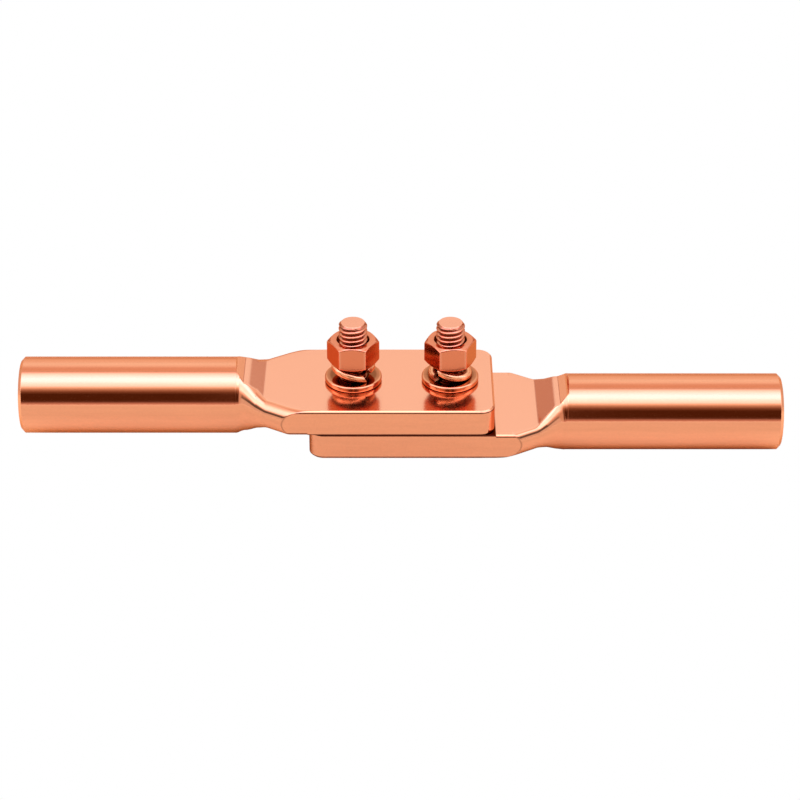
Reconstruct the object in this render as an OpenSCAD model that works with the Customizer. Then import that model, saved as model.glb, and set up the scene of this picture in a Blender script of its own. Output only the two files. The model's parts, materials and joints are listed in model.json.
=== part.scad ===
// Jumper clamp for a copper conductor run: two forged lugs whose palms are bolted face to face.
// +X runs along the conductors, +Z is up, and the lower barrel touches Z = 0.
// Both lugs are one shape: the lower one is the upper one turned half a turn about the Y axis.

/* [Barrel] */
// Outside diameter of each barrel
barrel_d = 27; // [25:0.5:30]
// Straight length of a barrel, from its mouth to the shoulder
barrel_len = 75.5; // [72:0.5:82]
// Diameter of the bore that takes the conductor
bore_d = 21; // [16:0.5:22]
// Depth of the bore's straight wall
bore_depth = 65; // [45:1:66]
// Full angle of the drill point at the bottom of the bore
drill_angle = 118; // [110:1:140]
// Diameter of the small flat that the drill's chisel edge leaves there
drill_flat_d = 1.2; // [0.6:0.1:2]
// Outer chamfer at the mouth
mouth_chamfer = 1.1; // [0.4:0.1:1.5]
// Inner chamfer at the mouth
bore_chamfer = 0.6; // [0.2:0.1:1]

/* [Palm] */
// Whole length of one lug, from the mouth to the end of the palm
lug_len = 166; // [160:1:180]
// Length over which the two palms lie on each other
overlap = 64.5; // [62:0.5:66]
// Width of the palm across its milled sides
palm_w = 45; // [43:0.5:50]
// Thickness of the palm
palm_t = 9.5; // [8:0.1:12]
// Height of the barrel's axis above the palm's mating face
axis_offset = 3.4; // [2:0.1:4.5]
// Radius of the palm's end corners, seen from above
palm_corner_r = 5.3; // [3:0.1:8]
// Radius of the palm's long and end edges
palm_edge_r = 1; // [0.5:0.1:1.5]

/* [Neck] */
// Length of the pressed step from the barrel down to the palm's faces
shoulder_len = 10.5; // [9:0.5:14]
// How softly the step starts: 0 would be an edge across the barrel
shoulder_ease = 0.1; // [0.02:0.01:0.2]
// Depth of the flatter spot that the press leaves on the step, as a share of the step
shoulder_flat = 0.06; // [0:0.01:0.1]
// How softly the step ends on the palm, as a share of the step: 0.01 is a sharp crease
shoulder_bend = 0.14; // [0.01:0.01:0.2]
// Length over which the barrel's round sides shrink to the palm's
side_len = 11; // [9:0.5:15]
// Side radius that the forging leaves on the flattened blank
forge_r = 5.5; // [5:0.1:7]
// Height of that radius's centre on the palm, above the barrel's axis
forge_rise = 0.7; // [0:0.1:1.2]
// Distance past the barrel where the blank starts to flare
flare_start = 1.3; // [0:0.1:3]
// Length over which the flare picks up its slope
flare_ease = 1.3; // [0.5:0.1:3]
// How far the forged blank is wider than the milled palm, each side
blank_over = 4; // [3.5:0.1:5]
// Length of the soft bend from the flare into the blank's full width
blank_bend = 3.6; // [1:0.2:5]
// Radius of the crease between the blank's side and its outer face
outer_crease_r = 0.3; // [0.1:0.1:0.6]
// Radius of the crease between the blank's side and its mating face
inner_crease_r = 0.4; // [0.3:0.1:1.2]
// Distance between the end of the flare and the end of the other palm
flare_clear = 3; // [1:0.5:5]

/* [Fasteners] */
// Distance between the two bolt axes
bolt_spacing = 34; // [30:0.5:38]
// Thread diameter of the bolts
bolt_d = 10; // [8:0.5:10.5]
// Radial gap between a bolt and its hole through the palms
hole_gap = 0.5; // [0.3:0.1:1]
// Width across flats of the heads and nuts
hex_af = 16; // [15.5:0.5:18]
// Height of the bolt heads
head_h = 6.4; // [5:0.2:8]
// Height of the nuts
nut_h = 8.8; // [6:0.2:10]
// Radial gap of the nut on the bolt
thread_gap = 0.05; // [0.03:0.01:0.08]
// Length of thread that stands out of the nut
bolt_proud = 6.6; // [2:0.2:12]
// Chamfer at the end of the bolt
bolt_chamfer = 1.1; // [0.5:0.1:1.5]

/* [Washers] */
// Outside diameter of the flat washers
washer_od = 20; // [18:0.5:24]
// Thickness of the flat washers
washer_t = 2.2; // [1.5:0.1:3]
// Radial gap between a bolt and its flat washer
washer_gap = 0.3; // [0.25:0.05:0.6]
// Radial gap between a bolt and its spring washer
spring_gap = 0.25; // [0.2:0.05:0.5]
// Radial width of the spring washer's wire
spring_w = 2.4; // [1.8:0.1:3]
// Thickness of the spring washer's wire
spring_t = 2.5; // [1.8:0.1:3.2]
// Height of the spring washer when it is not squeezed
spring_free_h = 5.25; // [4.75:0.05:6.5]
// Angle over which one end of the spring washer bends away from its flat body
spring_bend_deg = 130; // [60:5:200]
// Angle of the open gap between the spring washer's ends
spring_gap_deg = 14; // [8:1:30]
// Direction of the left spring washer's gap, from +X towards +Y
left_gap_at = -48; // [-180:1:180]
// Direction of the right spring washer's gap, from +X towards +Y
right_gap_at = -133; // [-180:1:180]
// Turn of the left nut from having a corner towards +X
left_nut_turn = -1; // [-30:1:30]
// Turn of the right nut from having a corner towards +X
right_nut_turn = 6; // [-30:1:30]

/* [Hidden] */
$fn = 64;

// Cuts run past the faces they open by this much
cut = 1;
// The nut clears the top of the relaxed spring washer by this much
nut_seat = 0.04;
// The neck runs into the barrel and the palm by neck_root, and lies inside their skins by seam
neck_root = 1;
seam = 0.03;
// The neck runs on by this much where the other palm lies on it, and the blank is all milled there
neck_over = 1.5;
// The flatter spot starts at the first share of the step's length and lasts the second
flat_start = 0.3;
flat_share = 0.24;
// A ring's pressed faces reach at least this far to each side, also on the barrel
face_min = 0.5;
// Rings down the pressed step and along the rest of the neck, and steps round each side of a ring
shoulder_rings = 16;
flare_rings = 26;
side_steps = 18;
// Steps round the spring washer, the bevel on its wire and the slant of its cut ends in degrees
spring_steps = 60;
spring_bevel = 0.35;
spring_slant = -9;
// The hexagons' corners and end faces are turned back to these shares of the corner radius
hex_corner = 0.982;
hex_face = 0.83;
hex_chamfer_angle = 30;
// Countersink at both ends of the nut's bore
nut_sink = 0.8;

barrel_r = barrel_d / 2;
bore_r = bore_d / 2;
drill_flat_r = drill_flat_d / 2;
bolt_r = bolt_d / 2;
hex_r = hex_af / 2 / cos(30);
half_len = lug_len - overlap / 2;
shoulder_end = barrel_len + shoulder_len;
blank_max = palm_w / 2 + blank_over;
flare_end = lug_len - overlap - flare_clear;
palm_start = lug_len - overlap + neck_over;
washer_bore_r = bolt_r + washer_gap;
spring_in_r = bolt_r + spring_gap;

// Heights: the mating plane of the palms, then the stack on the upper palm
mate_z = max(barrel_r + axis_offset, palm_t + head_h);
washer_z = mate_z + palm_t;
spring_z = washer_z + washer_t;
nut_z = spring_z + spring_free_h + nut_seat;
bolt_len = nut_z + nut_h + bolt_proud - (mate_z - palm_t);

copper = [0.87, 0.52, 0.37];
red_copper = [0.80, 0.42, 0.29];

// Smooth step from 0 to 1
function smooth(t) =
    let (s = min(max(t, 0), 1))
    s * s * (3 - 2 * s);

// How far an edge of radius r is drawn back at depth d below the face
function drawn_back(d, r) = r - sqrt(max(r * r - pow(min(max(r - d, 0), r), 2), 0));

// The lesser of two lengths, with a soft bend where they meet
function soft_min(a, b, bend) = min(a, b) - pow(max(bend - abs(a - b), 0), 2) / (4 * bend);

// Share of the pressed step that is done at share t of its length: soft start, flatter spot, soft end
function step_share(t) =
    let (
        s = max(t, 0),
        ramp = (1 + shoulder_ease) * s * s / (s + shoulder_ease),
        lost = shoulder_flat * smooth((s - flat_start) / flat_share)
    )
    soft_min((1 + shoulder_flat) * ramp - lost, 1, shoulder_bend);

// Half width of the forged blank at distance u from the mouth: it flares up to its full width
function flare(u) =
    let (x = max(u - barrel_len - flare_start, 0))
    x * x / (x + flare_ease);
function blank_half_w(u) =
    soft_min(
        barrel_r + (blank_max - barrel_r) * flare(u) / flare(flare_end),
        blank_max,
        blank_bend
    );

// One ring of the neck: two pressed faces and two round sides, trimmed to the milled palm
function neck_ring(u) =
    let (
        share = step_share((u - barrel_len) / shoulder_len),
        rounding = smooth((u - barrel_len) / side_len),
        outer = axis_offset + barrel_r - (axis_offset + barrel_r - palm_t) * share - seam,
        inner = (axis_offset - barrel_r) * (1 - share) + seam,
        middle = axis_offset + forge_rise * share,
        side_r = max(barrel_r + (forge_r - barrel_r) * rounding, outer - middle, middle - inner)
    )
    [
        for (side = [1, -1], k = [0 : side_steps])
            let (
                a = side * (180 * k / side_steps - 90),
                z = (outer + inner) / 2 + (outer - inner) / 2 * sin(a),
                crease = drawn_back(outer - z, outer_crease_r * rounding)
                    + drawn_back(z - inner, inner_crease_r * rounding),
                round_side = sqrt(max(side_r * side_r - pow(z - middle, 2), 0)) - side_r,
                forged = blank_half_w(u) + round_side - crease,
                milled = palm_w / 2 - drawn_back(min(outer - z, z - inner), palm_edge_r)
            )
            [u, side * max(min(forged, milled) - seam, face_min), z]
    ];

// Points of a skin over rings: every ring's points, then the middles of the first and the last ring
function ring_middle(ring) = [for (p = ring) 1 / len(ring)] * ring;
function skin_points(rings) = [
    for (ring = rings) each ring,
    ring_middle(rings[0]),
    ring_middle(rings[len(rings) - 1])
];

// Triangles of that skin for a number of rings of n points: a fan, the bands between rings, a fan
function skin_faces(count, n) = [
    for (i = [0 : n - 1]) [count * n, i, (i + 1) % n],
    for (k = [0 : count - 2], i = [0 : n - 1], half = [0, 1])
        let (
            a = k * n + i,
            b = k * n + (i + 1) % n
        )
        half == 0 ? [a, a + n, b] : [b, a + n, b + n],
    for (i = [0 : n - 1])
        let (last = (count - 1) * n)
        [count * n + 1, last + (i + 1) % n, last + i]
];

// Closed solid skinned over rings of points
module skin(rings) {
    polyhedron(skin_points(rings), skin_faces(len(rings), len(rings[0])), convexity = 6);
}

// Turned barrel with a chamfered mouth
module barrel_form() {
    translate([0, 0, axis_offset])
    rotate([0, 90, 0])
    rotate_extrude()
    polygon([
        [0, 0],
        [barrel_r - mouth_chamfer, 0],
        [barrel_r, mouth_chamfer],
        [barrel_r, barrel_len],
        [0, barrel_len]
    ]);
}

// Drilled bore with its chamfer and drill point
module barrel_bore() {
    bore_bottom = bore_depth + (bore_r - drill_flat_r) / tan(drill_angle / 2);
    translate([0, 0, axis_offset])
    rotate([0, 90, 0])
    rotate_extrude()
    polygon([
        [0, -cut],
        [bore_r + bore_chamfer + cut, -cut],
        [bore_r, bore_chamfer],
        [bore_r, bore_depth],
        [drill_flat_r, bore_bottom],
        [0, bore_bottom]
    ]);
}

// Pressed transition from the round barrel to the flat palm
module neck_form() {
    stations = [
        barrel_len - neck_root,
        for (k = [0 : shoulder_rings - 1]) barrel_len + shoulder_len * k / shoulder_rings,
        for (k = [0 : flare_rings]) shoulder_end + (palm_start - shoulder_end) * k / flare_rings,
        palm_start + neck_root
    ];
    skin([for (u = stations) neck_ring(u)]);
}

// Rectangle whose corners are round: both ends, or only the end at +x
module round_rect(w, h, r, both = true) {
    start = both ? r : 0;
    translate([0, -h / 2 + r]) square([w, h - 2 * r]);
    translate([start, -h / 2]) square([w - r - start, h]);
    for (x = both ? [r, w - r] : [w - r], y = [-1, 1])
        translate([x, y * (h / 2 - r)]) circle(r = r);
}

// Flat palm: its outline, its cross section and its side profile, extruded into each other
module palm_form() {
    len = lug_len - palm_start;
    translate([palm_start, 0, 0])
    intersection() {
        linear_extrude(palm_t) round_rect(len, palm_w, palm_corner_r, both = false);
        translate([0, -palm_w / 2, palm_t / 2])
            rotate([90, 0, 90])
            linear_extrude(len) round_rect(palm_w, palm_t, palm_edge_r);
        translate([0, palm_w / 2, palm_t / 2])
            rotate([90, 0, 0])
            linear_extrude(palm_w) round_rect(len, palm_t, palm_edge_r, both = false);
    }
}

// One whole lug: mouth at x = 0, palm towards +x, mating face at z = 0
module lug() {
    difference() {
        union() {
            barrel_form();
            neck_form();
            palm_form();
        }
        barrel_bore();
        for (side = [-1, 1])
            translate([half_len + side * bolt_spacing / 2, 0, -cut])
            cylinder(r = bolt_r + hole_gap, h = palm_t + 2 * cut);
    }
}

// Hexagon with turned corners: its face at z = h is chamfered, and at z = 0 too if both is true
module hexagon(h, both) {
    edge_r = hex_r * hex_corner;
    face_r = hex_r * hex_face;
    drop = (edge_r - face_r) * tan(hex_chamfer_angle);
    intersection() {
        cylinder(r = hex_r, h = h, $fn = 6);
        rotate_extrude()
        polygon([
            [0, 0],
            if (both) [face_r, 0],
            [edge_r, both ? drop : 0],
            [edge_r, h - drop],
            [face_r, h],
            [0, h]
        ]);
    }
}

// Hexagon bolt with its head under z = 0 and its chamfered end at bolt_len
module bolt() {
    mirror([0, 0, 1]) hexagon(head_h, false);
    rotate_extrude()
    polygon([
        [0, -head_h / 2],
        [bolt_r, -head_h / 2],
        [bolt_r, bolt_len - bolt_chamfer],
        [bolt_r - bolt_chamfer, bolt_len],
        [0, bolt_len]
    ]);
}

// Hexagon nut, chamfered on both faces, with a countersunk bore
module nut() {
    thread_r = bolt_r + thread_gap;
    difference() {
        hexagon(nut_h, true);
        rotate_extrude()
        polygon([
            [0, -cut],
            [thread_r + nut_sink + cut, -cut],
            [thread_r, nut_sink],
            [thread_r, nut_h - nut_sink],
            [thread_r + nut_sink + cut, nut_h + cut],
            [0, nut_h + cut]
        ]);
    }
}

// Plain round washer
module flat_washer() {
    difference() {
        cylinder(r = washer_od / 2, h = washer_t);
        translate([0, 0, -cut]) cylinder(r = washer_bore_r, h = washer_t + 2 * cut);
    }
}

// Section of the spring washer's wire at angle a and height z: bevelled corners, slanted round the axis
function wire_section(a, z) =
    let (
        b = spring_bevel,
        w = spring_w,
        t = spring_t
    )
    [
        for (p = [[b, 0], [w - b, 0], [w, b], [w, t - b], [w - b, t], [b, t], [0, t - b], [0, b]])
            let (
                turn = a + spring_slant * (p[1] / t - 0.5),
                r = spring_in_r + p[0]
            )
            [r * cos(turn), r * sin(turn), z + p[1]]
    ];

// Split spring washer: a flat body with one end bent up or, turned over, one end bent down
module spring_washer(gap_at, turned_over) {
    sweep = 360 - spring_gap_deg;
    rise = spring_free_h - spring_t;
    skin([
        for (k = [0 : spring_steps])
            let (
                along = sweep * k / spring_steps,
                from_end = turned_over ? sweep - along : along,
                bend = rise * pow(max(1 - from_end / spring_bend_deg, 0), 2)
            )
            wire_section(gap_at + spring_gap_deg / 2 + along, turned_over ? rise - bend : bend)
    ]);
}

module upper_lug() {
    color(copper)
    translate([-half_len, 0, mate_z])
    lug();
}

module lower_lug() {
    color(copper)
    translate([half_len, 0, mate_z])
    rotate([0, 180, 0])
    lug();
}

// The bolt axes: side is -1 for the left one and 1 for the right one
module at_bolt(side, z) {
    translate([side * bolt_spacing / 2, 0, z]) children();
}

module left_bolt() {
    color(red_copper) at_bolt(-1, mate_z - palm_t) bolt();
}

module right_bolt() {
    color(red_copper) at_bolt(1, mate_z - palm_t) bolt();
}

module left_flat_washer() {
    color(copper) at_bolt(-1, washer_z) flat_washer();
}

module right_flat_washer() {
    color(copper) at_bolt(1, washer_z) flat_washer();
}

module left_spring_washer() {
    color(copper) at_bolt(-1, spring_z) spring_washer(left_gap_at, true);
}

module right_spring_washer() {
    color(copper) at_bolt(1, spring_z) spring_washer(right_gap_at, false);
}

module left_nut() {
    color(red_copper) at_bolt(-1, nut_z) rotate(left_nut_turn) nut();
}

module right_nut() {
    color(red_copper) at_bolt(1, nut_z) rotate(right_nut_turn) nut();
}

upper_lug();
lower_lug();
left_bolt();
right_bolt();
left_flat_washer();
right_flat_washer();
left_spring_washer();
right_spring_washer();
left_nut();
right_nut();
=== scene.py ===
import json
import math

import bmesh
import bpy
import numpy as np
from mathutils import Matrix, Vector

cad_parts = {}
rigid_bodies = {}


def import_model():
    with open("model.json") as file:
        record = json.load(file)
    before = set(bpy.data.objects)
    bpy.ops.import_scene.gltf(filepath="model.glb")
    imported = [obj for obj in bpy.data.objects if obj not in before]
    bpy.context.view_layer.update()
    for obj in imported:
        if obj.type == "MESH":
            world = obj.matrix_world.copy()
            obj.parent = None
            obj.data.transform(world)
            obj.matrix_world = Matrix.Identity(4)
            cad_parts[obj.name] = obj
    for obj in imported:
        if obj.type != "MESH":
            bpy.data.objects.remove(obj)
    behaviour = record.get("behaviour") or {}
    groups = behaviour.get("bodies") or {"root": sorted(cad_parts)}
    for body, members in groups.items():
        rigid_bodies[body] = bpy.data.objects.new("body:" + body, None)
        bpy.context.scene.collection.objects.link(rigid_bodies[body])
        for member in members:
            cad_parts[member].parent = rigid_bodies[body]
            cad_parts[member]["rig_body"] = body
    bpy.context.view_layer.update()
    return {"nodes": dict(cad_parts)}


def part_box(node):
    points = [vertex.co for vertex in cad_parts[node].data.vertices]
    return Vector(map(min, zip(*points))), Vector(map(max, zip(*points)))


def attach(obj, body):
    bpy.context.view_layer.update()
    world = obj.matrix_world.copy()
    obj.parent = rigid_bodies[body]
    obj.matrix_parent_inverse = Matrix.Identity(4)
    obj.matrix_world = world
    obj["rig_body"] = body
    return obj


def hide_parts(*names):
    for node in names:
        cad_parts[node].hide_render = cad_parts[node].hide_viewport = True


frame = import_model()

# Lengths below are millimetres; MM turns them into the frame's metres when a mesh is made.
MM = 0.001


def box_mm(node):
    """Lowest and highest corner of a node, in millimetres."""
    low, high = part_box(node)
    return np.array(low) / MM, np.array(high) / MM


# Sizes that the frame gives
upper_low, upper_high = box_mm("upper_lug")
lower_low, lower_high = box_mm("lower_lug")
washer_low, washer_high = box_mm("right_flat_washer")
spring_bottom, spring_top = (corner[2] for corner in box_mm("right_spring_washer"))
nut_bottom, nut_top = (corner[2] for corner in box_mm("right_nut"))
bolt_bottom, bolt_top = (corner[2] for corner in box_mm("right_bolt"))

upper_axis_z = (upper_low[2] + upper_high[2]) / 2
lower_axis_z = (lower_low[2] + lower_high[2]) / 2
barrel_r = (upper_high[2] - upper_low[2]) / 2
axis_offset = (upper_axis_z - lower_axis_z) / 2
mate_z = (upper_axis_z + lower_axis_z) / 2
lug_len = upper_high[0] - upper_low[0]
half_len = -upper_low[0]
palm_half_w = upper_high[1]
washer_bottom, washer_top = washer_low[2], washer_high[2]
washer_r = (washer_high[0] - washer_low[0]) / 2
bolt_x = (washer_low[0] + washer_high[0]) / 2
palm_t = washer_bottom - mate_z
head_top_z = mate_z - palm_t
overlap_start = lug_len - 2 * (lug_len - half_len)

# Sizes of the lugs: barrel and bore, then the palm with its chamfers and holes
barrel_len = 75.5
mouth_chamfer = 1.1
mouth_edge_r = 0.1
mouth_land = 0.25
mouth_end = mouth_chamfer + mouth_land
bore_r = 10.5
bore_depth = 65.0
bore_chamfer = 0.6
drill_half_angle = math.radians(59)
drill_flat_r = 0.6
corner_r = 5.3
outer_cut = 0.6
mating_cut = 0.3
cut_bend = 0.15
hole_r = 5.5
palm_start = overlap_start + 1.5
covered_start = overlap_start - 0.4

# The forged neck: the pressed step, the flare of the blank and its round sides
outer_step = np.array([[75.8, 0], [76.1, 0.15], [78.6, 0.48], [80.1, 0.535], [86.3, 1]])
inner_step = np.array([[75.0, 0], [75.4, 0.22], [78.3, 0.49], [80.0, 0.53], [86.6, 1]])
step_edge = 0.2
step_soften = 0.8
neck_start = inner_step[0, 0] - step_edge
side_len = 11.0
forge_r = 5.5
forge_rise = 0.7
flare_start = 1.3
flare_ease = 1.3
flare_end = overlap_start - 3.0
blank_max = palm_half_w + 4.0
blank_bend = 3.6
outer_crease_r = 0.3
inner_crease_r = 0.4
mill_bend = 0.25

# Sizes of the bolts and nuts
bolt_r = 5.0
bolt_end_r = 4.1
bolt_rim = 0.12
pitch = 1.75
thread_depth = 0.9
thread_flat = 0.1
thread_gap = 0.06
thread_z = mate_z + 0.4 * palm_t
nut_sink = 0.85
sink_r = bolt_r + nut_sink
hex_flat_r = 8.0
hex_edge_r = 0.4
hex_hub = (hex_flat_r - hex_edge_r) / math.cos(math.pi / 6)
hex_corner_r = hex_hub + hex_edge_r
hex_face_share = 0.83
hex_face_r = hex_flat_r / math.cos(math.pi / 6) * hex_face_share
hex_chamfer_slope = math.tan(math.radians(30))
edge_ease = 0.3
ease_in = 0.3 * edge_ease
ease_down = 0.15 * edge_ease
nut_turn = {"left": math.radians(-1), "right": math.radians(6)}

# Sizes of the washers
washer_bore_r = 5.3
washer_round = 0.7
washer_bore_round = 0.2
spring_in_r = 5.25
spring_w = 2.4
spring_t = 2.5
spring_rounds = (0.3, 1.6, 0.3, 0.3)
spring_bend = math.radians(130)
spring_gap = math.radians(14)
spring_slant = math.radians(-9)
spring_gap_at = {"left": math.radians(-48), "right": math.radians(-133)}

# Painted shade and painted dark reflection lines on a lug: how far each reaches, over what length
# it fades, and its share
near_skin = 0.01
face_start = barrel_len + 0.5
side_band = 0.3
joint_top, joint_fade = mating_cut + 0.25, 0.2
rim_share, rim_w = 0.45, 0.16
rim_gap, rim_fade = 0.1, 0.5
edge_line_depth, edge_line_w = outer_cut + 0.12, 0.18

# Painted shade on the fasteners, in the same way, with painted shade on the hex flats, a darker
# tone on the rest, and painted light on the spring washer's wire
near_edge = 0.1
turned_share = 0.7
flat_margin, flat_end = 0.2, 0.35
root_share, root_power = 0.92, 1.5
end_share, end_h = 0.4, 1.0
hidden_share, hidden_fade = 0.7, 0.5
sink_dark_r, sink_fade = sink_r + 0.05, 0.3
under_share, under_fade = 0.8, 0.3
foot_h, foot_fade = 0.45, 0.35
top_bands = ((0.45, 0.3, 0.7), (0.27, 1.4, 0.8))  # share, distance inside the rim, fade
wire_inside = spring_in_r + 0.3 * spring_w
wire_fade, coil_fade = 0.25 * spring_w, 0.2 * spring_w

# Fineness of the surfaces
FLAT_COLS = 17
SIDE_COLS = 60
BARREL_RINGS = 12
NECK_STEP = 0.15
BARE_RINGS = 6
COVER_EDGE = 0.1
PALM_RINGS = 14
END_RINGS = 26
STEP_SHIFTS = np.linspace(-1, 1, 9)
MOUTH_ARC, WASHER_ARC, WASHER_BORE_ARC, WIRE_ARC = 3, 6, 4, 8
ROUND = np.linspace(0, 2 * np.pi, 97)
THREAD_ROWS = 16
HEX_ARC = np.linspace(-np.pi / 6, np.pi / 6, 6)
HEX_FLAT = np.linspace(0, 1, 14)[1:-1]
HEX_CONE = np.linspace(0, 1, 5)[1:, None]
WASHER_TOP_ROWS = np.linspace(0.8, 0.2, 4)
WIRE_RINGS = 121
WIRE_END_ROWS = np.array([1, 0.94, 0])[:, None, None]
WELD_REACH = 0.002
SLIVER = 0.001
SHARP_TURN = 32
LUG_SHARP_TURN = 24


def smooth(t):
    """Smooth step from 0 to 1."""
    t = np.clip(t, 0, 1)
    return t * t * (3 - 2 * t)


def above(value, level, fade):
    """0 where a value is below a level, 1 where it is above by the fade, a smooth step between."""
    return smooth((value - level) / fade)


def below(value, level, fade):
    """0 where a value is above a level, 1 where it is below by the fade, a smooth step between."""
    return smooth((level - value) / fade)


def soft_line(distance, width):
    """1 on a line, falling to both sides as e to the minus square of distance over width."""
    return np.exp(-(distance / width) ** 2)


def grid_quads(rows, cols):
    """Point numbers of the quads of a grid that is stored row by row."""
    a = np.arange(rows - 1)[:, None] * cols + np.arange(cols - 1)[None, :]
    return np.stack([a, a + 1, a + cols + 1, a + cols], axis=-1).reshape(-1, 4)


def weld(mesh):
    """Joins the patches of a mesh at their shared edges and poles, and turns its faces outwards."""
    work = bmesh.new()
    work.from_mesh(mesh)
    bmesh.ops.remove_doubles(work, verts=work.verts, dist=WELD_REACH * MM)
    bmesh.ops.dissolve_degenerate(work, edges=work.edges, dist=SLIVER * MM)
    bmesh.ops.recalc_face_normals(work, faces=work.faces)
    work.to_mesh(mesh)
    work.free()


def mesh_of(name, patches):
    """One closed mesh from grids of points, each of shape (rows, cols, 3) in millimetres."""
    points = np.concatenate([p.reshape(-1, 3) for p in patches]) * MM
    starts = np.cumsum([0] + [p.shape[0] * p.shape[1] for p in patches])
    quads = np.concatenate([s + grid_quads(*p.shape[:2]) for s, p in zip(starts, patches)])
    mesh = bpy.data.meshes.new(name)
    mesh.vertices.add(len(points))
    mesh.vertices.foreach_set("co", points.astype(np.float32).ravel())
    mesh.loops.add(quads.size)
    mesh.loops.foreach_set("vertex_index", quads.astype(np.int32).ravel())
    mesh.polygons.add(len(quads))
    mesh.polygons.foreach_set("loop_start", np.arange(0, quads.size, 4, dtype=np.int32))
    mesh.polygons.foreach_set("loop_total", np.full(len(quads), 4, dtype=np.int32))
    mesh.update(calc_edges=True)
    weld(mesh)
    return mesh


def shade(mesh, sharp_deg):
    """Smooth shading, with edges that turn by more than sharp_deg kept sharp."""
    mesh.polygons.foreach_set("use_smooth", np.ones(len(mesh.polygons), dtype=bool))
    mesh.set_sharp_from_angle(angle=math.radians(sharp_deg))
    mesh.update()


def mark(mesh, layer_name, rule):
    """Stores a share from 0 to 1 on each point, by a rule of its place in millimetres."""
    points = np.empty(len(mesh.vertices) * 3, dtype=np.float32)
    mesh.vertices.foreach_get("co", points)
    share = np.clip(rule(*(points.reshape(-1, 3).T / MM)), 0, 1)
    layer = mesh.attributes.new(layer_name, "FLOAT", "POINT")
    layer.data.foreach_set("value", share.astype(np.float32))


def in_scene(name, mesh):
    """Puts a mesh in the scene as an object at the origin."""
    made = bpy.data.objects.new(name, mesh)
    bpy.context.scene.collection.objects.link(made)
    return made


def add_piece(name, mesh, node, material, rules, sharp_deg=SHARP_TURN):
    """Puts a mesh in the scene in place of a node, on that node's body and with its finish."""
    shade(mesh, sharp_deg)
    for layer_name, rule in rules.items():
        mark(mesh, layer_name, rule)
    mesh.materials.append(material)
    piece = in_scene(name, mesh)
    weighted = piece.modifiers.new("even_normals", "WEIGHTED_NORMAL")
    weighted.keep_sharp = True
    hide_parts(node)
    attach(piece, frame["nodes"][node]["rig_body"])


def fillet(points, radii, steps):
    """An open outline with each inner corner rounded: the arc of that radius touches both sides."""
    points = np.array(points, float)
    radii = np.broadcast_to(radii, len(points) - 2)
    share = np.linspace(0, 1, steps + 1)[:, None]
    turned = [points[:1]]
    for before, corner, after, radius in zip(points[:-2], points[1:-1], points[2:], radii):
        to_a = (before - corner) / np.linalg.norm(before - corner)
        to_b = (after - corner) / np.linalg.norm(after - corner)
        half = math.acos(np.clip(to_a @ to_b, -1, 1)) / 2
        reach = radius / math.tan(half)
        middle = corner + (to_a + to_b) / np.linalg.norm(to_a + to_b) * radius / math.sin(half)
        start, end = corner + to_a * reach - middle, corner + to_b * reach - middle
        sweep = math.pi - 2 * half
        arc = np.sin((1 - share) * sweep) * start + np.sin(share * sweep) * end
        turned.append(middle + arc / math.sin(sweep))
    turned.append(points[-1:])
    return np.concatenate(turned)


def revolve(profile, x, angle=ROUND):
    """Grid of a profile of (radius, height) points carried round the vertical axis at x."""
    radius, height = profile[:, 0][:, None], profile[:, 1][:, None]
    return np.stack(
        [x + radius * np.cos(angle), radius * np.sin(angle), height + 0 * angle], axis=-1
    )


# The lugs, with u along a lug from its mouth, y across it and z up from its mating face


def drawn_back(depth, radius):
    """How far an edge of that radius is drawn back at a depth below its face."""
    short = np.clip(radius - depth, 0, radius)
    return radius - np.sqrt(radius ** 2 - short ** 2)


def chamfered(depth, cut):
    """How far a palm's edge is set back at a depth below its face: 45 degrees, softly ended."""
    left = cut - depth
    return np.maximum(left, 0) + np.maximum(cut_bend - np.abs(left), 0) ** 2 / (4 * cut_bend)


def soft_min(a, b, bend):
    """The lesser of two lengths, with a soft bend where they meet."""
    return np.minimum(a, b) - np.maximum(bend - np.abs(a - b), 0) ** 2 / (4 * bend)


def step_share(u, breaks):
    """Share of a pressed step that is done.

    It is straight between its breaks, averaged over a reach that is short down to the ledge
    between the third and the fourth break, and longer after it.
    """
    past_ledge = above(u, breaks[2, 0], breaks[3, 0] - breaks[2, 0])
    reach = step_edge + (step_soften - step_edge) * past_ledge
    return sum(np.interp(u + s * reach, *breaks.T) for s in STEP_SHIFTS) / len(STEP_SHIFTS)


def flare(u):
    """Growth of the flare past its start: x^2 / (x + ease), which eases into a steady slope."""
    past = np.maximum(u - barrel_len - flare_start, 0)
    return past ** 2 / (past + flare_ease)


def pressed_faces(u):
    """Heights of the outer and the mating face: from the barrel's top and bottom to the palm's."""
    outer = axis_offset + barrel_r - (axis_offset + barrel_r - palm_t) * step_share(u, outer_step)
    inner = (axis_offset - barrel_r) * (1 - step_share(u, inner_step))
    return outer, inner


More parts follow.
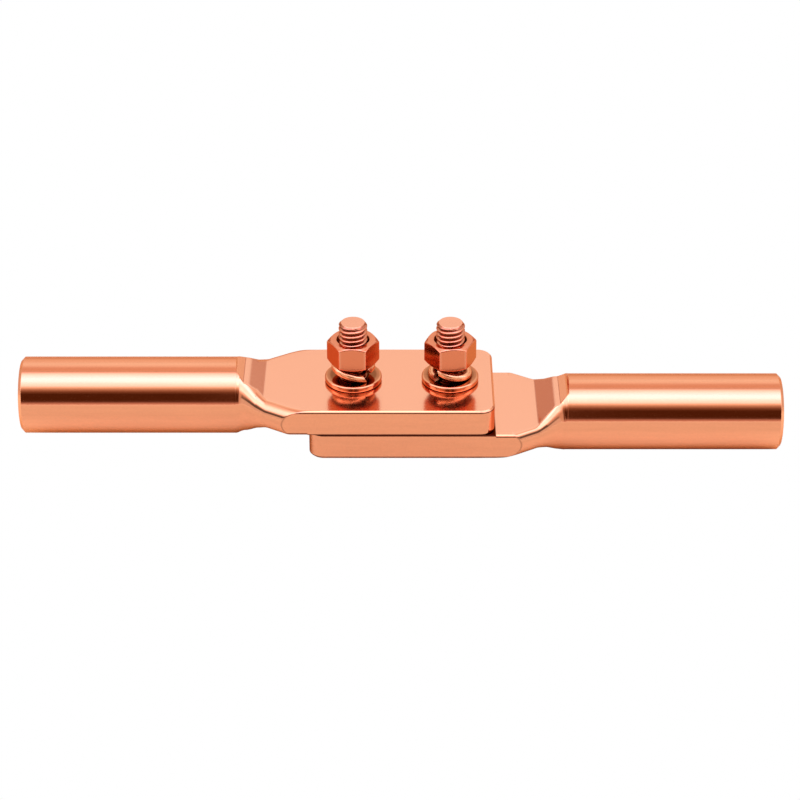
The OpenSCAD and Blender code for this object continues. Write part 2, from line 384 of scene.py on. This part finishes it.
def side_reach(u, z):
    """How far the forged blank and the milled palm each reach to the side, at (u, z).

    The blank's side is an arc about the middle line that shrinks from the barrel's own radius to
    forge_r while the blank flares, less the rounding of its two creases. The milled palm is
    straight, less the chamfer of its edges, and ends in two corner arcs.
    """
    outer, inner = pressed_faces(u)
    rounding = above(u, barrel_len, side_len)
    middle = axis_offset + forge_rise * step_share(u, outer_step)
    radius = np.maximum(barrel_r + (forge_r - barrel_r) * rounding, outer - middle)
    radius = np.maximum(radius, middle - inner)
    crease = drawn_back(outer - z, outer_crease_r * rounding)
    crease = crease + drawn_back(z - inner, inner_crease_r * rounding)
    width = barrel_r + (blank_max - barrel_r) * flare(u) / flare(flare_end)
    arc = np.sqrt(np.maximum(radius ** 2 - (z - middle) ** 2, 0)) - radius
    forged = soft_min(width, blank_max, blank_bend) + arc - crease
    inner_cut = np.where(u > covered_start, mating_cut, outer_cut)
    inset = np.maximum(chamfered(outer - z, outer_cut), chamfered(z - inner, inner_cut))
    past = np.maximum(u - (lug_len - corner_r), 0)
    milled = palm_half_w - corner_r + np.sqrt(np.maximum((corner_r - inset) ** 2 - past ** 2, 0))
    return forged, milled


def lug_side(u):
    """One side of a lug, y >= 0, from its outer face down to its mating face, over rings u.

    The height runs with the sine of an angle from 90 to -90 degrees, and the side lies at the
    lesser of the forged and the milled reach. Near the palm's end the ring's height shrinks by the
    end's chamfers.
    """
    u = u[:, None]
    outer, inner = pressed_faces(u)
    top = outer - chamfered(lug_len - u, outer_cut)
    bottom = inner + chamfered(lug_len - u, mating_cut)
    wave = np.sin(np.linspace(np.pi / 2, -np.pi / 2, SIDE_COLS + 1))
    z = (top + bottom) / 2 + (top - bottom) / 2 * wave
    forged, milled = side_reach(u, z)
    y = np.where(u < palm_start, soft_min(forged, milled, mill_bend), milled)
    return np.stack([u + 0 * y, np.maximum(y, 0), z], axis=-1)


def lug_rings():
    """Distances of the rings: the barrel, the neck closely, the palm and its round end.

    Two rings lie close together where the other lug starts to cover the palm, because the
    mating edge's chamfer changes there. The end's rings follow the sine of a quarter turn.
    """
    corner_start = lug_len - corner_r
    return np.concatenate([
        np.linspace(mouth_end, neck_start, BARREL_RINGS)[:-1],
        np.linspace(neck_start, flare_end, int((flare_end - neck_start) / NECK_STEP))[:-1],
        np.linspace(flare_end, covered_start - COVER_EDGE, BARE_RINGS),
        np.linspace(covered_start + COVER_EDGE, corner_start, PALM_RINGS)[:-1],
        corner_start + corner_r * np.sin(np.linspace(0, np.pi / 2, END_RINGS)),
    ])


def mouth_and_bore(ring):
    """Skin from the barrel's first ring over the mouth and down the bore to the drill point.

    The ring's own points are scaled about the barrel's axis to each radius of the turned profile.
    """
    bottom = bore_depth + (bore_r - drill_flat_r) / math.tan(drill_half_angle)
    profile = fillet(
        [
            [mouth_end, barrel_r],
            [mouth_chamfer, barrel_r],
            [0, barrel_r - mouth_chamfer],
            [0, bore_r + bore_chamfer],
            [bore_chamfer, bore_r],
            [bore_depth, bore_r],
            [bottom, drill_flat_r],
            [bottom, 0],
        ],
        mouth_edge_r,
        MOUTH_ARC,
    )
    spoke = (ring[:, 1:] - [0, axis_offset]) / barrel_r
    u = profile[:, 0][:, None] + 0 * spoke[None, :, 0]
    y = profile[:, 1][:, None] * spoke[None, :, 0]
    z = axis_offset + profile[:, 1][:, None] * spoke[None, :, 1]
    return np.stack([u, y, z], axis=-1)


def lug_patches():
    """All the skins of one lug: both sides, the two faces, the end wall, the mouth and the bore."""
    near = lug_side(lug_rings())
    far = near * [1, -1, 1]
    across = np.linspace(-1, 1, FLAT_COLS + 1)[None, :, None] * [0, 1, 0] + [1, 0, 1]
    faces = [near[:, :1] * across, near[:, -1:] * across]
    end = near[-1][None] * across.reshape(-1, 1, 3)
    return [near, far, *faces, end, mouth_and_bore(near[0]), mouth_and_bore(far[0])]


def in_place(patch, up):
    """A lug's points in the frame: up is 1 for the upper lug and -1 for the lower, half a turn."""
    u, y, z = np.moveaxis(patch, -1, 0)
    return np.stack([up * (u - half_len), y, mate_z + up * z], axis=-1)


def along_lug(rule, up):
    """A rule of a lug's own (u, y, z), as a rule of the place in the frame."""
    return lambda x, y, z: rule(half_len + up * x, y, up * (z - mate_z))


def drill(lug_mesh, name):
    """Cuts the two bolt holes through a palm."""
    body = in_scene(name + "_blank", lug_mesh)
    low, high = mate_z - 2 * palm_t, mate_z + 2 * palm_t
    profile = np.array([[0, low], [hole_r, low], [hole_r, high], [0, high]])
    cutters = []
    for side in (-1, 1):
        rod = mesh_of(name + "_drill", [revolve(profile, side * bolt_x)])
        cutters.append(in_scene(name + "_drill", rod))
        cut = body.modifiers.new("hole", "BOOLEAN")
        cut.operation = "DIFFERENCE"
        cut.solver = "EXACT"
        cut.object = cutters[-1]
    graph = bpy.context.evaluated_depsgraph_get()
    drilled = bpy.data.meshes.new_from_object(body.evaluated_get(graph))
    for spare in [body, *cutters]:
        bpy.data.objects.remove(spare)
    return drilled


def lug_painted_shade(u, y, z):
    """Painted shade where a lug's palms meet, and painted dark reflection lines round the milled
    flats and under their edges.
    """
    covered = u > covered_start
    forged, milled = side_reach(u, z)
    outer, inner = pressed_faces(u)
    depth = np.minimum(outer - z, z - inner)
    at_side = np.abs(y) > np.minimum(forged, milled) - side_band
    joint = below(z, joint_top, joint_fade) * covered
    rim = rim_share * soft_line(forged - milled, rim_w) * above(depth, rim_gap, rim_fade)
    edge_depth = np.where(covered, outer - z, depth)
    edge_line = soft_line(edge_depth - edge_line_depth, edge_line_w) * (milled < forged)
    return np.maximum(joint, np.maximum(rim * (u < palm_start), edge_line) * at_side)


def lug_face(u, y, z):
    """1 on the two pressed and milled faces of a lug, 0 on its sides and its barrel."""
    outer, inner = pressed_faces(u)
    return (np.minimum(np.abs(outer - z), np.abs(z - inner)) < near_skin) * (u > face_start)


# The fasteners


def thread_skin(x, z_low, z_high, gap, low_r, high_r, angle, inside):
    """Screw thread on a grid whose rows follow the helix.

    Row i at angle a lies (i / rows + a / 2 pi) pitches above the start, held between the two ends,
    and its radius is the crest's less the depth times a smooth wave of i. Near an end the radius
    runs out to that end's own: outwards in a nut's countersink, inwards on a bolt's chamfer. The
    rows start a turn below the lower end and run past the upper one, so both ends are filled.
    """
    turns = math.ceil((z_high - z_low) / pitch) + 3
    first = thread_z + pitch * (math.floor((z_low - thread_z) / pitch) - 1)
    row = np.arange(turns * THREAD_ROWS + 1)[:, None] / THREAD_ROWS
    z = np.clip(first + pitch * (row + angle / (2 * np.pi)), z_low, z_high)
    wave = above(np.abs(2 * (row % 1) - 1), thread_flat, 1 - 2 * thread_flat)
    radius = np.maximum(bolt_r + gap - thread_depth * wave, low_r - (z - z_low))
    if inside:
        radius = np.maximum(radius, high_r - (z_high - z))
    else:
        radius = np.minimum(radius, high_r + (z_high - z))
    return np.stack([x + radius * np.cos(angle), radius * np.sin(angle), z + 0 * radius], axis=-1)


def hex_columns(turn):
    """Rim of a hexagon with softly rounded corners: unit directions and distances from the axis.

    Each corner is an arc of hex_edge_r about a hub on the corner's own ray, and a flat joins the
    end of each arc to the start of the next.
    """
    corner = np.arange(6)[:, None] * np.pi / 3 + turn
    rim = []
    for wave in (np.cos, np.sin):
        arc = hex_hub * wave(corner) + hex_edge_r * wave(corner + HEX_ARC)
        flat = arc[:, -1:] * (1 - HEX_FLAT) + np.roll(arc[:, :1], -1, axis=0) * HEX_FLAT
        joined = np.concatenate([arc, flat], axis=1).ravel()
        rim.append(np.append(joined, joined[0]))
    reach = np.hypot(*rim)
    return rim[0] / reach, rim[1] / reach, reach


def hex_angles(turn):
    """Angles of a hexagon's rim points, so that a bore or a shank can share them."""
    across_x, across_y, reach = hex_columns(turn)
    return np.unwrap(np.arctan2(across_y, across_x))


def hex_end(reach, z_end, inner_r, up):
    """Rows of (distance, height) from an inner circle over a turned end face to the hexagon's wall.

    The face is flat out to its own circle, then falls as a cone to the wall, with the edge eased.
    up is 1 for an upper end and -1 for a lower one.
    """
    drop = (reach - hex_face_r) * hex_chamfer_slope
    flat = np.array([[inner_r], [(inner_r + hex_face_r) / 2], [hex_face_r]]) + 0 * reach
    cone = hex_face_r + (reach - edge_ease - hex_face_r) * HEX_CONE
    distance = np.concatenate([flat, cone, [reach - ease_in, reach]])
    fall = np.concatenate([
        0 * flat, (cone - hex_face_r) * hex_chamfer_slope, [drop + ease_down, drop + edge_ease]
    ])
    return distance, z_end - up * fall


def hexagon(x, z_low, z_high, low_r, high_r, turn):
    """Skin of a hexagon from its lower inner circle round the outside to its upper inner circle."""
    across_x, across_y, reach = hex_columns(turn)
    low_d, low_z = hex_end(reach, z_low, low_r, -1)
    high_d, high_z = hex_end(reach, z_high, high_r, 1)
    distance = np.concatenate([low_d, high_d[::-1]])
    height = np.concatenate([low_z, high_z[::-1]])
    return np.stack([x + distance * across_x, distance * across_y, height], axis=-1)


def bolt_patches(x):
    """Hexagon head with a flat foot, plain shank, screw thread and chamfered end with its face."""
    angle = hex_angles(0)
    shank = np.array([[bolt_r, head_top_z], [bolt_r, thread_z]])
    end = np.array([[bolt_end_r, bolt_top], [bolt_end_r - bolt_rim, bolt_top], [0, bolt_top]])
    return [
        hexagon(x, bolt_bottom, head_top_z, 0, bolt_r, 0),
        revolve(shank, x, angle),
        thread_skin(x, thread_z, bolt_top, 0, bolt_r, bolt_end_r, angle, False),
        revolve(end, x, angle),
    ]


def nut_patches(x, turn):
    """Hexagon nut, turned at both ends, with a countersunk threaded bore."""
    angle = hex_angles(turn)
    return [
        hexagon(x, nut_bottom, nut_top, sink_r, sink_r, turn),
        thread_skin(x, nut_bottom, nut_top, thread_gap, sink_r, sink_r, angle, True),
    ]


def washer_patches(x):
    """Flat washer: a rounded rectangle carried round the bolt's axis, with more rows on its top."""
    low, high = washer_bottom, washer_top
    middle = (washer_bore_r + washer_r) / 2
    outer = fillet(
        [[middle, low], [washer_r, low], [washer_r, high], [middle, high]], washer_round, WASHER_ARC
    )
    rows = middle + (outer[-2] - [middle, high])[0] * WASHER_TOP_ROWS
    top = np.stack([rows, 0 * rows + high], axis=1)
    inner = fillet(
        [[middle, high], [washer_bore_r, high], [washer_bore_r, low], [middle, low]],
        washer_bore_round, WASHER_BORE_ARC,
    )
    return [revolve(np.concatenate([outer[:-1], top, outer[-1:], inner[1:]]), x)]


def spring_patches(x, gap_at, turned_over):
    """Split spring washer: a rounded square wire carried round the bolt, with slanted cut ends.

    Its body is flat, and over the bend angle one end rises by a square law; turned over, the other
    end falls instead.
    """
    half_w, half_t = spring_w / 2, spring_t / 2
    outline = fillet(
        [[0, -half_t], [half_w, -half_t], [half_w, half_t], [-half_w, half_t], [-half_w, -half_t],
         [0, -half_t]], spring_rounds, WIRE_ARC)
    sweep = 2 * np.pi - spring_gap
    along = np.linspace(0, sweep, WIRE_RINGS)[:, None]
    from_end = sweep - along if turned_over else along
    rise = spring_top - spring_bottom - spring_t
    bend = rise * np.maximum(1 - from_end / spring_bend, 0) ** 2
    angle = gap_at + spring_gap / 2 + along + spring_slant * outline[:, 1] / spring_t
    radius = spring_in_r + half_w + outline[:, 0]
    z = spring_bottom + half_t + (rise - bend if turned_over else bend) + outline[:, 1]
    skin = np.stack([x + radius * np.cos(angle), radius * np.sin(angle), z], axis=-1)
    ends = [r.mean(axis=0) + WIRE_END_ROWS * (r - r.mean(axis=0)) for r in (skin[0], skin[-1])]
    return [skin, *ends]


def bolt_painted_shade(r, z):
    """Painted shade on a bolt: in the thread's roots, on its end's chamfer and over all of it below
    the nut.
    """
    at_end = z > bolt_top - end_h
    root = root_share * np.clip((bolt_r - r) / thread_depth, 0, 1) ** root_power * ~at_end
    chamfer = end_share * (r > bolt_end_r + near_edge) * at_end
    hidden = hidden_share * below(z, nut_bottom + hidden_fade, hidden_fade)
    return np.maximum(np.maximum(root, chamfer), hidden * (z > head_top_z + near_edge))


def nut_painted_shade(r, z):
    """Painted shade of a nut: in its bore and countersinks, and on its underside."""
    under = under_share * below(z, nut_bottom + under_fade, under_fade)
    return np.maximum(below(r, sink_dark_r, sink_fade), under)


def hex_shade_and_tone(r, z):
    """Painted shade, 1 on the flats of a nut or a bolt head; a darker tone, less, on edges and
    threads; 0 on a bolt's end.
    """
    flat = (r > hex_flat_r - near_edge) * (r < hex_corner_r - flat_margin)
    flat = flat * (z < nut_top - flat_end)
    return np.maximum(flat, turned_share * (z < bolt_top - near_skin))


def washer_painted_shade(r, z):
    """Painted shade of a flat washer: a painted contact shadow on its lower edge, and shade on its
    top in two bands towards the bore.
    """
    foot = below(z, washer_bottom + foot_h, foot_fade)
    top = sum(share * below(r, washer_r - inset, fade) for share, inset, fade in top_bands)
    return np.maximum(foot, top)


def spring_painted_shade(r, z):
    """Painted shade of a spring washer: on its inner wall, fading over its faces."""
    return below(r, wire_inside, wire_fade)


def spring_painted_light(r, z):
    """Painted light: 1 on the outside of a spring washer's wire, where a lighter colour is painted
    on, 0 on its inner wall.
    """
    return above(r, wire_inside, coil_fade)


def round_bolt(rule, x):
    """A rule of radius and height round the bolt's axis at x, as a rule of the place."""
    return lambda px, py, pz: rule(np.hypot(px - x, py), pz)


# Shader nodes


def node_of(tree, kind, **values):
    """Adds a shader node and sets its inputs by name."""
    made = tree.nodes.new(kind)
    for key, value in values.items():
        made.inputs[key.replace("_", " ")].default_value = value
    return made


def math_node(tree, kind, *values):
    """Adds a Math node whose inputs are sockets or numbers."""
    made = tree.nodes.new("ShaderNodeMath")
    made.operation = kind
    for slot, value in zip(made.inputs, values):
        if isinstance(value, (int, float)):
            slot.default_value = value
        else:
            tree.links.new(value, slot)
    return made.outputs["Value"]


def smooth_node(tree, value, low, high):
    """Adds a smooth step of a value, from 0 at low to 1 at high."""
    made = node_of(tree, "ShaderNodeMapRange", From_Min=low, From_Max=high)
    made.interpolation_type = "SMOOTHSTEP"
    tree.links.new(value, made.inputs["Value"])
    return made.outputs["Result"]


def mix_node(tree, factor, a, b):
    """Adds a colour mix of two inputs, each a socket or a colour."""
    made = tree.nodes.new("ShaderNodeMix")
    made.data_type = "RGBA"
    tree.links.new(factor, made.inputs["Factor"])
    for key, value in (("A", a), ("B", b)):
        if isinstance(value, tuple):
            made.inputs[key].default_value = value
        else:
            tree.links.new(value, made.inputs[key])
    return made.outputs["Result"]


def ramp_node(tree, value, steps):
    """Adds a colour ramp of a value from (position, red, green, blue) steps."""
    made = tree.nodes.new("ShaderNodeValToRGB")
    elements = made.color_ramp.elements
    while len(elements) < len(steps):
        elements.new(0.5)
    for element, (position, *colour) in zip(elements, steps):
        element.position = position
        element.color = (*colour, 1)
    tree.links.new(value, made.inputs["Fac"])
    return made.outputs["Color"]


# Finishes

EDGE_TINT = (0.8, 0.5, 0.38, 1)
# Near-black painted shade, mixed into the colour where the marks put shade
SHADE_PAINT = (0.05, 0.008, 0.003, 1)
PALE = (0.88, 0.41, 0.255, 1)
# Darker colour: painted shade on the hex flats, and a darker tone over threads and edges
DEEP_SHADE_AND_TONE = (0.68, 0.19, 0.09, 1)
# Lighter colour, painted light on the outside of the spring washer's wire
COIL_PAINTED_LIGHT = (0.90, 0.39, 0.20, 1)
STREAK_SCALE = (60, 900, 900)
STREAK_DETAIL = 4.0
SPECKLE_SCALE = 1400.0
SPECKLE_DETAIL = 3.0
SPECKLE_SHARE = 0.5
NOISE_LOW, NOISE_HIGH = 0.3, 0.7
UNEVEN_POLISH = 0.2
BUMP_STRENGTH = 0.05
BUMP_HEIGHT = 0.0001


def copper(name, colour, flat_colour, roughness, flat_roughness, grain):
    """Polished copper: drawn streaks along X, fine speckle, uneven polish and painted shade in
    crevices.

    Points marked as face take flat_colour and are rougher: on the lugs that is the brushed flats'
    own colour, on hex flats painted shade, and on the spring washer's wire painted light.
    """
    material = bpy.data.materials.new(name)
    material.use_nodes = True
    tree = material.node_tree
    link = tree.links.new
    shader = tree.nodes["Principled BSDF"]
    shader.inputs["Metallic"].default_value = 1.0
    shader.inputs["Specular Tint"].default_value = EDGE_TINT

    place = tree.nodes.new("ShaderNodeTexCoord")
    stretch = node_of(tree, "ShaderNodeMapping", Scale=STREAK_SCALE)
    streak = node_of(tree, "ShaderNodeTexNoise", Scale=1.0, Detail=STREAK_DETAIL)
    speckle = node_of(tree, "ShaderNodeTexNoise", Scale=SPECKLE_SCALE, Detail=SPECKLE_DETAIL)
    blend = tree.nodes.new("ShaderNodeMix")
    blend.data_type = "FLOAT"
    blend.inputs["Factor"].default_value = SPECKLE_SHARE
    link(place.outputs["Object"], stretch.inputs["Vector"])
    link(stretch.outputs["Vector"], streak.inputs["Vector"])
    link(place.outputs["Object"], speckle.inputs["Vector"])
    link(streak.outputs["Fac"], blend.inputs["A"])
    link(speckle.outputs["Fac"], blend.inputs["B"])
    noise = blend.outputs["Result"]

    shade_in = ramp_node(tree, noise, [
        (NOISE_LOW, *[c * (1 - grain) for c in colour]),
        (NOISE_HIGH, *[min(1, c * (1 + grain)) for c in colour]),
    ])
    shares = {}
    # Mixed into the colour: flat_colour where marked as face, and near-black painted shade where
    # marked as shade
    for layer_name, other in (("face", flat_colour), ("painted_shade", SHADE_PAINT)):
        layer = tree.nodes.new("ShaderNodeAttribute")
        layer.attribute_name = layer_name
        shares[layer_name] = layer.outputs["Fac"]
        shade_in = mix_node(tree, shares[layer_name], shade_in, other)
    link(shade_in, shader.inputs["Base Color"])

    polish = node_of(
        tree, "ShaderNodeMapRange", From_Min=NOISE_LOW, From_Max=NOISE_HIGH,
        To_Min=roughness * (1 - UNEVEN_POLISH), To_Max=roughness * (1 + UNEVEN_POLISH),
    )
    link(noise, polish.inputs["Value"])
    rougher = flat_roughness - roughness
    brushed = math_node(tree, "MULTIPLY_ADD", shares["face"], rougher, polish.outputs["Result"])
    link(brushed, shader.inputs["Roughness"])
    bump = node_of(tree, "ShaderNodeBump", Strength=BUMP_STRENGTH, Distance=BUMP_HEIGHT)
    link(noise, bump.inputs["Height"])
    link(bump.outputs["Normal"], shader.inputs["Normal"])
    return material


LUG = copper(
    "lug_copper", colour=(0.80, 0.31, 0.165), flat_colour=PALE,
    roughness=0.08, flat_roughness=0.15, grain=0.05,
)
WASHER = copper(
    "washer_copper", colour=(0.80, 0.30, 0.15), flat_colour=COIL_PAINTED_LIGHT,
    roughness=0.10, flat_roughness=0.26, grain=0.06,
)
FASTENER = copper(
    "fastener_copper", colour=(0.86, 0.39, 0.25), flat_colour=DEEP_SHADE_AND_TONE,
    roughness=0.07, flat_roughness=0.16, grain=0.06,
)


# The pieces

for name, up in (("upper_lug", 1), ("lower_lug", -1)):
    skin = mesh_of(name + "_skin", [in_place(patch, up) for patch in lug_patches()])
    rules = {"painted_shade": along_lug(lug_painted_shade, up), "face": along_lug(lug_face, up)}
    add_piece(name + "_forging", drill(skin, name), name, LUG, rules, LUG_SHARP_TURN)

for side, x in (("left", -bolt_x), ("right", bolt_x)):
    for part, node, slot, finish, patches, marks in (
        ("_screw", "_bolt", "fastener_copper", FASTENER, bolt_patches(x),
         {"painted_shade": bolt_painted_shade, "face": hex_shade_and_tone}),
        ("_hex_nut", "_nut", "fastener_copper", FASTENER, nut_patches(x, nut_turn[side]),
         {"painted_shade": nut_painted_shade, "face": hex_shade_and_tone}),
        ("_plain_washer", "_flat_washer", "washer_copper", WASHER, washer_patches(x),
         {"painted_shade": washer_painted_shade}),
        ("_split_washer", "_spring_washer", "washer_copper", WASHER,
         spring_patches(x, spring_gap_at[side], side == "left"),
         {"painted_shade": spring_painted_shade, "face": spring_painted_light}),
    ):
        rules = {layer_name: round_bolt(rule, x) for layer_name, rule in marks.items()}
        add_piece(side + part, mesh_of(side + part, patches), side + node, finish, rules)


# The stage: white floor, a light tent with a dark opening at the front, and the camera

# Painted light on the floor that the clamp mirrors: its colour by metres before and behind the
# clamp, brightest right at it
FLOOR_HALF = 4.0
FLOOR_PAINTED_LIGHT = [
    (0, 0.9, 0.93, 0.72), (0.04, 0.66, 0.66, 0.51), (0.15, 0.66, 0.66, 0.51),
    (0.9, 0.75, 0.72, 0.6),
]

# Light of the tent by degrees from the front horizon over the top to the back horizon
TENT_BACKDROP = [
    (102, 0.95, 0.86, 0.85), (110, 0.97, 0.75, 0.65), (118, 1.0, 0.83, 0.77), (127, 1.2, 1.26, 1.3),
    (136, 1.22, 1.4, 1.5), (147, 1.15, 1.2, 1.25), (160, 1.12, 1.18, 1.25), (176, 0.92, 0.92, 0.98),
    (180, 0.88, 0.88, 0.95),
]
TENT = [
    (0, 0.80, 0.60, 0.56), (3, 0.66, 0.45, 0.42), (8, 0.15, 0.07, 0.05), (13, 0.09, 0.03, 0.01),
    (31, 0.09, 0.03, 0.01), (38, 0.25, 0.13, 0.08), (44, 0.6, 0.42, 0.34), (50, 1.15, 1.1, 0.98),
    (56, 2.1, 2.2, 2.8), (62, 2.5, 2.5, 3.4), (70, 3.1, 3.15, 4.8), (77, 3.2, 3.3, 5.2),
    (83, 2.9, 2.95, 4.6), (89, 2.6, 2.65, 3.7), (96, 1.95, 1.95, 2.5), *TENT_BACKDROP,
]
# The same right over the palms, where the opening is lit and the softbox leaves a gap at the top
TENT_MIDDLE = [
    (0, 0.80, 0.60, 0.56), (3, 0.66, 0.45, 0.42), (10, 0.40, 0.25, 0.2), (31, 0.40, 0.25, 0.2),
    (38, 0.5, 0.3, 0.22), (44, 0.7, 0.5, 0.4), (50, 1.15, 1.1, 0.98), (56, 2.3, 2.4, 3.0),
    (62, 4.0, 4.0, 4.8), (70, 5.0, 5.0, 5.6), (76, 5.0, 5.0, 5.6), (80, 3.4, 3.4, 4.0),
    (85, 1.05, 0.95, 0.92), *TENT_BACKDROP,
]
# The same beside the dark opening, and towards the two ends of the tent
TENT_BESIDE = [
    (0, 0.9, 0.8, 0.75), (16, 0.8, 0.66, 0.6), (34, 0.8, 0.66, 0.6), (42, 1.3, 1.2, 1.2),
    (50, 2.8, 2.8, 3.6), (80, 2.8, 2.8, 3.6), (102, 1.3, 1.3, 1.4), (125, 1.15, 1.15, 1.2),
    (158, 1.17, 1.3, 1.4), (175, 1.03, 0.95, 0.86), (180, 1.03, 0.95, 0.86),
]
TENT_ENDS = [
    (0, 0.95, 0.95, 0.95), (18, 0.9, 0.9, 0.9), (24, 0.15, 0.15, 0.15), (38, 0.15, 0.15, 0.15),
    (46, 0.7, 0.7, 0.7), (54, 2.0, 2.0, 2.3), (66, 2.6, 2.6, 3.6), (90, 2.5, 2.5, 3.4),
    (102, 1.3, 1.3, 1.4), (125, 1.1, 1.1, 1.1), (180, 0.9, 0.9, 0.9),
]
PEAK = 5.6
TENT_SCALE = (180, PEAK, PEAK, PEAK)
SEEN_WHITE = (1 / PEAK, 1 / PEAK, 1 / PEAK, 1)

# Where one part of the tent gives way to the next, by the direction's share along X
MIDDLE_TO_TENT = (0.04, 0.056)
TENT_TO_BESIDE = (0.17, 0.48)
BESIDE_TO_ENDS = (0.62, 0.74)

# The darker low strip beside the backdrop, by the direction's shares along Y, X and Z
STRIP_DARK = (0.67 / PEAK, 0.46 / PEAK, 0.42 / PEAK, 1)
STRIP_BEHIND = (0.3, 0.6)
STRIP_ASIDE = (0.2, 0.4)
STRIP_FOOT = (0.13, 0.19)
STRIP_TOP = (0.38, 0.31)

# The camera, with its aim given along X and along the picture's upright
CAMERA_TILT = math.radians(30)
CAMERA_DISTANCE = 885
AIM_X = -0.6
AIM_UP = 1.03
SENSOR_W = 36
LENS = 112.5


def white_floor():
    """Floor that the camera sees as plain white; the clamp mirrors it as a lit, shaded floor, with
    painted light in its colour that changes with distance before and behind the clamp.
    """
    mesh = bpy.data.meshes.new("floor")
    h = FLOOR_HALF
    mesh.from_pydata([(-h, -h, 0), (h, -h, 0), (h, h, 0), (-h, h, 0)], [], [(0, 1, 2, 3)])
    floor = in_scene("floor", mesh)
    paint = bpy.data.materials.new("floor_white")
    paint.use_nodes = True
    tree = paint.node_tree
    tree.nodes.clear()
    place = tree.nodes.new("ShaderNodeTexCoord")
    parts = tree.nodes.new("ShaderNodeSeparateXYZ")
    tree.links.new(place.outputs["Object"], parts.inputs["Vector"])
    matt = tree.nodes.new("ShaderNodeBsdfDiffuse")
    fade = ramp_node(tree, math_node(tree, "ABSOLUTE", parts.outputs["Y"]), FLOOR_PAINTED_LIGHT)
    tree.links.new(fade, matt.inputs["Color"])
    glow = node_of(tree, "ShaderNodeEmission", Color=(1, 1, 1, 1), Strength=1.0)
    seen = tree.nodes.new("ShaderNodeLightPath")
    pick = tree.nodes.new("ShaderNodeMixShader")
    tree.links.new(seen.outputs["Is Camera Ray"], pick.inputs["Fac"])
    tree.links.new(matt.outputs["BSDF"], pick.inputs[1])
    tree.links.new(glow.outputs["Emission"], pick.inputs[2])
    out = tree.nodes.new("ShaderNodeOutputMaterial")
    tree.links.new(pick.outputs["Shader"], out.inputs["Surface"])
    mesh.materials.append(paint)


def light_tent():
    """World light by direction, as from a tent with a softbox overhead.

    An angle in the YZ plane runs from the front horizon over the top to the back horizon, and a
    ramp over it gives the opening, the softbox and the backdrop. There are four such ramps, from
    the middle plane to the two ends of the tent, and the direction's share along X picks between
    them. Beside the backdrop a low strip is darker. The camera sees plain white.
    """
    world = bpy.data.worlds.new("light_tent")
    bpy.context.scene.world = world
    world.use_nodes = True
    tree = world.node_tree
    back = tree.nodes["Background"]
    back.inputs["Strength"].default_value = PEAK
    place = tree.nodes.new("ShaderNodeTexCoord")
    parts = tree.nodes.new("ShaderNodeSeparateXYZ")
    tree.links.new(place.outputs["Generated"], parts.inputs["Vector"])
    x, y, z = (parts.outputs[key] for key in "XYZ")
    aside = math_node(tree, "ABSOLUTE", x)
    angle = math_node(tree, "ARCTAN2", z, math_node(tree, "MULTIPLY", y, -1.0))
    over = math_node(tree, "DIVIDE", angle, math.pi)
    middle, tent, beside, ends = (
        ramp_node(tree, over, np.array(steps) / TENT_SCALE)
        for steps in (TENT_MIDDLE, TENT, TENT_BESIDE, TENT_ENDS)
    )
    light = mix_node(tree, smooth_node(tree, aside, *MIDDLE_TO_TENT), middle, tent)
    light = mix_node(tree, smooth_node(tree, aside, *TENT_TO_BESIDE), light, beside)
    light = mix_node(tree, smooth_node(tree, aside, *BESIDE_TO_ENDS), light, ends)
    strip = smooth_node(tree, y, *STRIP_BEHIND)
    for share, edge in ((aside, STRIP_ASIDE), (z, STRIP_FOOT), (z, STRIP_TOP)):
        strip = math_node(tree, "MULTIPLY", strip, smooth_node(tree, share, *edge))
    light = mix_node(tree, strip, light, STRIP_DARK)
    seen = tree.nodes.new("ShaderNodeLightPath")
    light = mix_node(tree, seen.outputs["Is Camera Ray"], light, SEEN_WHITE)
    tree.links.new(light, back.inputs["Color"])


def set_camera():
    """Camera at the photograph's angle: 30 degrees above the palms, square to the conductors."""
    level, rise = math.cos(CAMERA_TILT), math.sin(CAMERA_TILT)
    aim = Vector((AIM_X, AIM_UP * rise, mate_z + AIM_UP * level))
    data = bpy.data.cameras.new("camera")
    data.sensor_width = SENSOR_W
    data.lens = LENS
    camera = in_scene("camera", data)
    camera.location = (aim + CAMERA_DISTANCE * Vector((0, -level, rise))) * MM
    camera.rotation_euler = (math.pi / 2 - CAMERA_TILT, 0, 0)
    bpy.context.scene.camera = camera


white_floor()
light_tent()
set_camera()
bpy.context.scene.view_settings.view_transform = "Standard"
